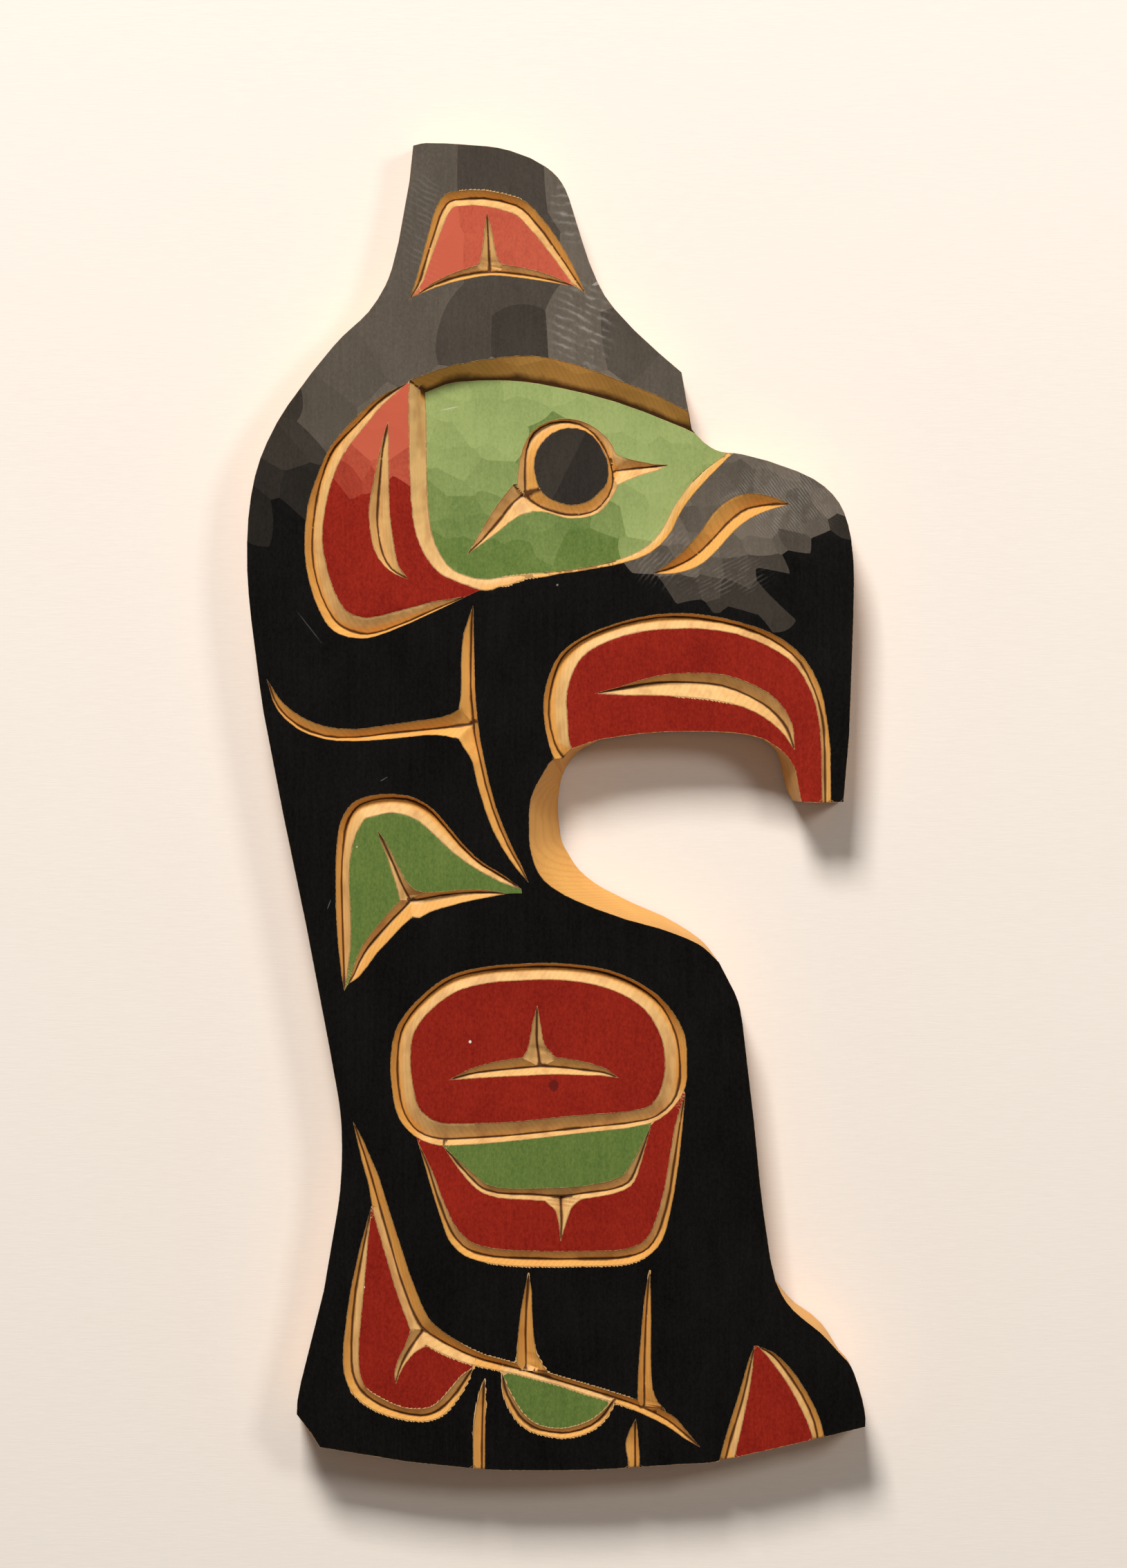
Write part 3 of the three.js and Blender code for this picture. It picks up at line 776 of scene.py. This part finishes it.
def cedarGrainGroup():
    tree, given, made = newGroup("cedarGrain", {"Rings": 1.0, "Fibres": 1.0}, ["Tone", "Height"])
    broad = objectNoise(tree, "broadGrain")
    fibres = objectNoise(tree, "fibres")
    place = newNode(tree, "ShaderNodeTexCoord").outputs["Object"]
    mapping = newNode(tree, "ShaderNodeMapping")
    mapping.inputs["Location"].default_value = growth["heart"]
    mapping.inputs["Rotation"].default_value = growth["lean"]
    feed(tree, place, mapping.inputs["Vector"])
    rings = newNode(tree, "ShaderNodeTexWave", wave_type="RINGS", rings_direction="Z")
    for socket, value in growth["waves"].items():
        rings.inputs[socket].default_value = value
    feed(tree, mapping.outputs[0], rings.inputs["Vector"])
    ringTone = mathNode(tree, "POWER", rings.outputs["Fac"], growth["sharpness"])
    ringTone = mathNode(tree, "MULTIPLY", ringTone, given.outputs["Rings"])
    fibreTone = mathNode(tree, "MULTIPLY", mathNode(tree, "SUBTRACT", fibres, 0.5), given.outputs["Fibres"])
    tone = mathNode(tree, "MULTIPLY", broad, growth["broadShare"])
    tone = mathNode(tree, "ADD", tone, mathNode(tree, "MULTIPLY", ringTone, growth["ringShare"]))
    fibreShare = mathNode(tree, "MULTIPLY", fibreTone, growth["fibreShare"])
    feed(tree, mathNode(tree, "ADD", tone, fibreShare, clamp=True), made.inputs["Tone"])
    height = mathNode(tree, "ADD", fibreTone, mathNode(tree, "MULTIPLY", ringTone, growth["ringHeight"]))
    feed(tree, height, made.inputs["Height"])
    return tree


# Paint brushed on thin: broad blotches, streaks along the grain, a leathery mottle, fine pores. How
# high each of them stands.
paintLayers = {"Blotches": 0.0, "Streaks": 0.5, "Mottle": 1.5, "Pores": 1.0}


def brushedPaintGroup():
    tree, given, made = newGroup("brushedPaint", {name: 0.5 for name in paintLayers}, ["Tone", "Height"])
    tone, height = 0.5, 0.0
    for name, high in paintLayers.items():
        noise = objectNoise(tree, name.lower())
        part = mathNode(tree, "MULTIPLY", mathNode(tree, "SUBTRACT", noise, 0.5), given.outputs[name])
        tone = mathNode(tree, "ADD", part, tone)
        height = mathNode(tree, "ADD", mathNode(tree, "MULTIPLY", noise, high), height)
    feed(tree, mathNode(tree, "ADD", tone, 0.0, clamp=True), made.inputs["Tone"])
    feed(tree, height, made.inputs["Height"])
    return tree


# Where paint has come off along the cut edges: a mask from the distance to the nearest edge, in
# millimetres. The pitch of the torn teeth is in metres.
wear = {"strongest": 6.0, "pitchWaver": 2.4, "softness": 0.03}


def edgeWearGroup():
    inputs = {"Reach": 0.25, "Ragged": 0.3, "Teeth": 0.42, "Pitch": 0.00128}
    tree, given, made = newGroup("edgeWear", inputs, ["Mask"])
    ragged = mathNode(tree, "SUBTRACT", objectNoise(tree, "wornEdge"), 0.5)
    ragged = mathNode(tree, "MULTIPLY", ragged, given.outputs["Ragged"])
    far = mathNode(tree, "MULTIPLY", ragged, wear["strongest"])
    place = newNode(tree, "ShaderNodeSeparateXYZ")
    feed(tree, newNode(tree, "ShaderNodeTexCoord").outputs["Object"], place.inputs[0])
    uneven = mathNode(tree, "MULTIPLY", objectNoise(tree, "teethPitch"), wear["pitchWaver"])
    count = mathNode(tree, "DIVIDE", place.outputs[0], given.outputs["Pitch"])
    count = mathNode(tree, "ADD", count, uneven)
    teeth = mathNode(tree, "MULTIPLY", mathNode(tree, "FRACT", count), given.outputs["Teeth"])
    teeth = mathNode(tree, "MULTIPLY", teeth, attributeValue(tree, "torn"))
    reach = mathNode(tree, "ADD", mathNode(tree, "ADD", given.outputs["Reach"], far), teeth)
    short = mathNode(tree, "SUBTRACT", reach, attributeValue(tree, "rimGap"))
    feed(tree, rangeNode(tree, short, -wear["softness"], wear["softness"]), made.inputs["Mask"])
    return tree


# Fine ridges that the blade leaves across a cut: their height, and the crests that the paints give a
# painted highlight.
blade = {"waver": 1.5, "sharpness": 3.0, "breaks": (0.38, 0.62)}


def bladeMarksGroup():
    tree, given, made = newGroup("bladeMarks", {"Strength": 1.0}, ["Height", "Ridge"])
    waver = mathNode(tree, "SUBTRACT", objectNoise(tree, "ridgeWaver"), 0.5)
    waver = mathNode(tree, "MULTIPLY", waver, blade["waver"])
    count = mathNode(tree, "ADD", attributeValue(tree, "ridgeCount"), waver)
    wave = mathNode(tree, "SINE", mathNode(tree, "MULTIPLY", count, 2 * math.pi))
    crest = mathNode(tree, "POWER", rangeNode(tree, wave, -1.0, 1.0), blade["sharpness"])
    broken = rangeNode(tree, objectNoise(tree, "ridgeBreaks"), *blade["breaks"])
    ridge = mathNode(tree, "MULTIPLY", crest, broken)
    ridge = mathNode(tree, "MULTIPLY", ridge, attributeValue(tree, "ridges"))
    feed(tree, ridge, made.inputs["Ridge"])
    feed(tree, mathNode(tree, "MULTIPLY", ridge, given.outputs["Strength"]), made.inputs["Height"])
    return tree


# One small mark in the paint, round or drawn out, at a place in the board's own axes.
markEdge = {"ragged": 1.4, "outside": 1.5, "inside": 1.1}


def paintMarkGroup():
    inputs = {"X": 0.0, "Z": 0.0, "Wide": 0.001, "High": 0.001, "Turn": 0.0}
    tree, given, made = newGroup("paintMark", inputs, ["Mask"])
    parts = newNode(tree, "ShaderNodeSeparateXYZ")
    feed(tree, newNode(tree, "ShaderNodeTexCoord").outputs["Object"], parts.inputs[0])
    x = mathNode(tree, "SUBTRACT", parts.outputs[0], given.outputs["X"])
    z = mathNode(tree, "SUBTRACT", parts.outputs[2], given.outputs["Z"])
    cosine = mathNode(tree, "COSINE", given.outputs["Turn"])
    sine = mathNode(tree, "SINE", given.outputs["Turn"])
    along = mathNode(tree, "MULTIPLY", x, cosine)
    along = mathNode(tree, "ADD", along, mathNode(tree, "MULTIPLY", z, sine))
    across = mathNode(tree, "MULTIPLY", z, cosine)
    across = mathNode(tree, "SUBTRACT", across, mathNode(tree, "MULTIPLY", x, sine))
    along = mathNode(tree, "POWER", mathNode(tree, "DIVIDE", along, given.outputs["Wide"]), 2.0)
    across = mathNode(tree, "POWER", mathNode(tree, "DIVIDE", across, given.outputs["High"]), 2.0)
    ragged = mathNode(tree, "MULTIPLY", objectNoise(tree, "markEdge"), markEdge["ragged"])
    far = mathNode(tree, "ADD", mathNode(tree, "ADD", along, across), ragged)
    feed(tree, rangeNode(tree, far, markEdge["outside"], markEdge["inside"]), made.inputs["Mask"])
    return tree


effects = {}


def placeGroup(tree, name, **values):
    node = newNode(tree, "ShaderNodeGroup", node_tree=effects[name])
    for socket, value in values.items():
        node.inputs[socket].default_value = value
    return node.outputs


def newMaterial(name):
    material = bpy.data.materials.new(name)
    material.use_nodes = True
    tree = material.node_tree
    shader = next(node for node in tree.nodes if node.type == "BSDF_PRINCIPLED")
    return material, tree, shader


def addBump(tree, shader, height, strength, distance):
    bump = newNode(tree, "ShaderNodeBump")
    bump.inputs["Strength"].default_value = strength
    bump.inputs["Distance"].default_value = distance
    feed(tree, height, bump.inputs["Height"])
    feed(tree, bump.outputs[0], shader.inputs["Normal"])


# Each paint's planed colour is painted sheen: the lighter tone that the planed facets of the head show
# where the light glances off them. Its ridge colour is a painted highlight on the crests of the blade's
# ridges.
paints = {
    "blackPaint": {"deep": (0.0010, 0.0009, 0.0008, 1), "thin": (0.0098, 0.0084, 0.0074, 1),
                   "planed": (0.160, 0.130, 0.100, 1), "planedGain": 1.0, "ridge": (0.36, 0.33, 0.29, 1),
                   "streaks": 0.6, "blotches": 0.8, "mottle": 1.3, "pores": 0.8,
                   "reach": 0.03, "ragged": 0.05, "shine": 0.045, "roughness": (0.6, 0.48)},
    "redPaint": {"deep": (0.184, 0.0082, 0.0042, 1), "thin": (0.338, 0.0218, 0.0100, 1),
                 "planed": (0.53, 0.105, 0.056, 1), "planedGain": 2.1, "ridge": (0.62, 0.26, 0.20, 1),
                 "streaks": 0.45, "blotches": 0.9, "mottle": 1.9, "pores": 0.8,
                 "reach": 0.05, "ragged": 0.08, "shine": 0.06, "roughness": (0.65, 0.55)},
    "greenPaint": {"deep": (0.070, 0.128, 0.025, 1), "thin": (0.160, 0.220, 0.048, 1),
                   "planed": (0.30, 0.37, 0.128, 1), "planedGain": 1.0, "ridge": (0.42, 0.50, 0.22, 1),
                   "streaks": 0.6, "blotches": 0.8, "mottle": 1.7, "pores": 0.7,
                   "reach": 0.05, "ragged": 0.08, "shine": 0.1, "roughness": (0.65, 0.55)},
}
# The darkest colour here is painted shade, laid as a dark line along the lips of the cuts and down the
# groove floors.
cedar = {
    "pale": (0.83, 0.53, 0.205, 1), "tan": (0.55, 0.265, 0.078, 1), "smudge": (0.40, 0.17, 0.055, 1),
    "stained": (0.81, 0.44, 0.110, 1), "gold": (0.52, 0.172, 0.022, 1), "paintedShade": (0.070, 0.018, 0.004, 1),
    "underPaint": (0.66, 0.38, 0.15, 1), "lipReach": 0.34, "lipShadeShare": 0.6, "lipWaver": 0.2,
    "valleyReach": (0.38, 0.95), "valleyShadeShare": 0.94, "valleyWaver": 0.15,
    "valleyNoise": (0.35, 0.65), "valleyNarrowing": (0.75, 1.5),
    "smudgeNoise": (0.46, 0.70), "smudgeShare": 0.42, "blackFade": 0.6,
    "rings": 0.5, "fibres": 1.1, "roughness": (0.62, 0.45), "shine": 0.3, "bump": (0.5, 0.00008),
}
# What every paint has: the grain that shows through it, how its tone varies the painted sheen on the
# planed facets, and the heights of brush, grain and blade marks. A bump is its strength and its height in
# metres.
coat = {
    "rings": 0.6, "fibres": 0.8, "planedTone": (0.2, 0.8), "planedShare": (0.82, 1.12),
    "ridgeHighlight": 0.6, "brushHeight": 0.35, "grainHeight": 0.4, "bladeHeight": 1.3,
    "bump": (0.6, 0.00008),
}


# Small marks seen in the paint: x and z in the drawing, half length and half height in units,
# turn in degrees, colour.
paintMarks = {
    "blackPaint": [
        (515, 1722, 11, 3, 20, (0.30, 0.27, 0.23, 1)), (225, 561, 6, 2, -60, (0.45, 0.24, 0.09, 1)),
        (126, 822, 9, 0.8, 70, (0.10, 0.09, 0.08, 1)), (205, 1003, 8, 0.8, 30, (0.09, 0.08, 0.07, 1)),
        (456, 1284, 2.2, 1.8, 0, (0.20, 0.18, 0.16, 1)), (98, 1222, 36, 0.9, -52, (0.05, 0.045, 0.04, 1)),
    ],
    "redPaint": [
        (330, 623, 2.4, 2.8, 0, (0.82, 0.74, 0.64, 1)), (451, 560, 9, 11, 0, (0.14, 0.011, 0.008, 1)),
        (176, 268, 2.4, 2.6, 0, (0.80, 0.66, 0.52, 1)), (430, 1790, 14, 1.6, -52, (0.70, 0.42, 0.34, 1)),
    ],
    "greenPaint": [
        (300, 1541, 16, 1.4, 12, (0.42, 0.44, 0.26, 1)), (166, 905, 2.0, 1.6, 0, (0.45, 0.44, 0.28, 1)),
    ],
}


def paintMaterial(name):
    look = paints[name]
    material, tree, shader = newMaterial(name)
    brushed = placeGroup(tree, "brushedPaint", Streaks=look["streaks"], Blotches=look["blotches"],
                         Mottle=look["mottle"], Pores=look["pores"])
    grain = placeGroup(tree, "cedarGrain", Rings=coat["rings"], Fibres=coat["fibres"])
    worn = placeGroup(tree, "edgeWear", Reach=look["reach"], Ragged=look["ragged"])
    cuts = placeGroup(tree, "bladeMarks", Strength=1.0)
    # Painted sheen: the planed facets of the head are painted lighter, facet by facet, where the light
    # glances off them.
    light = attributeValue(tree, "facetSheen")
    colour = mixNode(tree, brushed["Tone"], look["deep"], look["thin"])
    low, high = (share * look["planedGain"] for share in coat["planedShare"])
    sheenShare = rangeNode(tree, brushed["Tone"], *coat["planedTone"], low, high)
    sheenShare = mathNode(tree, "MULTIPLY", light, sheenShare, clamp=True)
    colour = mixNode(tree, sheenShare, colour, look["planed"])
    # A painted highlight along the crests of the blade's ridges.
    ridgeHighlight = mathNode(tree, "MULTIPLY", cuts["Ridge"], coat["ridgeHighlight"])
    colour = mixNode(tree, ridgeHighlight, colour, look["ridge"])
    for x, z, wide, high, turn, tint in paintMarks[name]:
        side, up = (value / 1000 for value in toBoard(x, z))
        mark = placeGroup(tree, "paintMark", X=side, Z=up, Wide=wide * unit / 1000,
                          High=high * unit / 1000, Turn=math.radians(turn))
        colour = mixNode(tree, mark["Mask"], colour, tint)
    colour = mixNode(tree, worn["Mask"], colour, cedar["underPaint"])
    feed(tree, colour, shader.inputs["Base Color"])
    rough = rangeNode(tree, brushed["Tone"], 0.0, 1.0, *look["roughness"])
    feed(tree, rough, shader.inputs["Roughness"])
    shader.inputs["Specular IOR Level"].default_value = look["shine"]
    height = mathNode(tree, "MULTIPLY", brushed["Height"], coat["brushHeight"])
    grainHeight = mathNode(tree, "MULTIPLY", grain["Height"], coat["grainHeight"])
    height = mathNode(tree, "ADD", height, grainHeight)
    bladeHeight = mathNode(tree, "MULTIPLY", cuts["Height"], coat["bladeHeight"])
    height = mathNode(tree, "ADD", height, bladeHeight)
    addBump(tree, shader, height, *coat["bump"])
    return material


def cedarMaterial():
    material, tree, shader = newMaterial("bareCedar")
    grain = placeGroup(tree, "cedarGrain", Rings=cedar["rings"], Fibres=cedar["fibres"])
    uneven = objectNoise(tree, "unevenWall")
    inner = mixNode(tree, grain["Tone"], cedar["pale"], cedar["tan"])
    smudge = objectNoise(tree, "smudges")
    smudge = rangeNode(tree, smudge, *cedar["smudgeNoise"], 0.0, cedar["smudgeShare"])
    inner = mixNode(tree, smudge, inner, cedar["smudge"])
    outer = mixNode(tree, grain["Tone"], cedar["stained"], cedar["gold"])
    fade = cedar["blackFade"]
    colour = mixNode(tree, rangeNode(tree, attributeValue(tree, "nearBlack"), -fade, fade), inner, outer)
    # A dark line along each lip of a cut: painted shade.
    rim = mathNode(tree, "MULTIPLY", uneven, cedar["lipWaver"])
    rim = mathNode(tree, "SUBTRACT", attributeValue(tree, "rimGap"), rim)
    lip = rangeNode(tree, rim, 0.0, cedar["lipReach"], cedar["lipShadeShare"], 0.0)
    colour = mixNode(tree, lip, colour, cedar["paintedShade"])
    # A dark line down each groove's floor: painted shade in the crease, wavering in width.
    narrowing = objectNoise(tree, "floorWidth")
    narrowing = rangeNode(tree, narrowing, *cedar["valleyNoise"], *cedar["valleyNarrowing"])
    floor = mathNode(tree, "MULTIPLY", attributeValue(tree, "floorGap"), narrowing)
    floor = mathNode(tree, "ADD", floor, mathNode(tree, "MULTIPLY", uneven, cedar["valleyWaver"]))
    valley = rangeNode(tree, floor, *cedar["valleyReach"], cedar["valleyShadeShare"], 0.0)
    colour = mixNode(tree, valley, colour, cedar["paintedShade"])
    feed(tree, colour, shader.inputs["Base Color"])
    rough = rangeNode(tree, grain["Tone"], 0.0, 1.0, *cedar["roughness"])
    feed(tree, rough, shader.inputs["Roughness"])
    shader.inputs["Specular IOR Level"].default_value = cedar["shine"]
    addBump(tree, shader, grain["Height"], *cedar["bump"])
    return material


def makeMaterials():
    effects["cedarGrain"] = cedarGrainGroup()
    effects["brushedPaint"] = brushedPaintGroup()
    effects["edgeWear"] = edgeWearGroup()
    effects["bladeMarks"] = bladeMarksGroup()
    effects["paintMark"] = paintMarkGroup()
    for name in paints:
        paintMaterial(name)
    cedarMaterial()
    print("materials:", ", ".join(paintNames))


studio = {
    "cloth": (0.94, 0.86, 0.785, 1),
    "clothShade": (0.86, 0.785, 0.71, 1),
    "clothRoughness": 0.9,
    "clothShine": 0.1,
    "clothBump": (0.25, 0.0001),
    "clothGap": 0.0015,         # between the board's back and the cloth
    "clearReach": 1.06,         # share of that gap up to which the cloth is clear
    "clothFoot": -0.9,
    "halfWidth": 1.0,
    "height": 0.9,
    "key": {"place": (-0.55, -2.05, 2.20), "size": 0.9, "energy": 113, "colour": (1, 0.985, 0.96)},
    "fill": {"place": (1.3, -1.9, 0.6), "size": 0.5, "energy": 11, "colour": (1, 0.96, 0.92)},
    "back": {"place": (0.1, 2.6, 0.05), "size": 0.6, "energy": 34, "colour": (1, 0.98, 0.96), "bounces": 0},
    "lightAim": (0, 0, -0.1),
    "sky": (1.0, 0.955, 0.91, 1),
    "skyStrength": 0.13,
    "camera": {"place": (0.00783, -2.2, -0.09705), "lens": 154.8},
}


def plainSheet(name, corners):
    mesh = bpy.data.meshes.new(name + "Mesh")
    mesh.from_pydata(corners, [], [(0, 1, 2, 3)])
    sheet = bpy.data.objects.new(name, mesh)
    bpy.context.scene.collection.objects.link(sheet)
    return sheet


# The cloth behind the board. It is clear from behind, and clear to the board's own back, so the back
# can be seen and lit although the board hangs close to the cloth.
def makeStage():
    material, tree, shader = newMaterial("paleCloth")
    shader.inputs["Roughness"].default_value = studio["clothRoughness"]
    shader.inputs["Specular IOR Level"].default_value = studio["clothShine"]
    weave = objectNoise(tree, "weave")
    feed(tree, mixNode(tree, weave, studio["clothShade"], studio["cloth"]), shader.inputs["Base Color"])
    addBump(tree, shader, weave, *studio["clothBump"])
    clear = newNode(tree, "ShaderNodeBsdfTransparent")
    sides = newNode(tree, "ShaderNodeMixShader")
    behind = newNode(tree, "ShaderNodeNewGeometry").outputs["Backfacing"]
    length = newNode(tree, "ShaderNodeLightPath").outputs["Ray Length"]
    close = mathNode(tree, "LESS_THAN", length, studio["clothGap"] * studio["clearReach"])
    feed(tree, mathNode(tree, "MAXIMUM", behind, close), sides.inputs[0])
    feed(tree, shader.outputs[0], sides.inputs[1])
    feed(tree, clear.outputs[0], sides.inputs[2])
    output = next(node for node in tree.nodes if node.type == "OUTPUT_MATERIAL")
    feed(tree, sides.outputs[0], output.inputs["Surface"])
    w, y, low, top = studio["halfWidth"], studio["clothGap"], studio["clothFoot"], studio["height"]
    wall = plainSheet("backCloth", [(-w, y, low), (w, y, low), (w, y, top), (-w, y, top)])
    wall.data.materials.append(material)


def makeLight(name):
    look = studio[name]
    data = bpy.data.lights.new(name + "Light", "AREA")
    data.size = look["size"]
    data.energy = look["energy"]
    data.color = look["colour"]
    if "bounces" in look:
        data.cycles.max_bounces = look["bounces"]
    light = bpy.data.objects.new(name + "Light", data)
    light.location = look["place"]
    towards = Vector(studio["lightAim"]) - light.location
    light.rotation_euler = towards.to_track_quat("-Z", "Y").to_euler()
    bpy.context.scene.collection.objects.link(light)


def makeStudio():
    makeStage()
    makeLight("key")
    makeLight("fill")
    makeLight("back")
    world = bpy.data.worlds.new("studioAir")
    world.use_nodes = True
    background = next(node for node in world.node_tree.nodes if node.type == "BACKGROUND")
    background.inputs["Color"].default_value = studio["sky"]
    background.inputs["Strength"].default_value = studio["skyStrength"]
    bpy.context.scene.world = world
    bpy.context.scene.view_settings.view_transform = "Standard"
    data = bpy.data.cameras.new("photoCamera")
    data.lens = studio["camera"]["lens"]
    camera = bpy.data.objects.new("photoCamera", data)
    camera.location = studio["camera"]["place"]
    camera.rotation_euler = (math.pi / 2, 0, 0)
    bpy.context.scene.collection.objects.link(camera)
    bpy.context.scene.camera = camera
    print("studio: camera, lights and cloth")


makeStudio()
makeMaterials()
piece = carvedBoard()
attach(piece, "root")
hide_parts("carved_board")
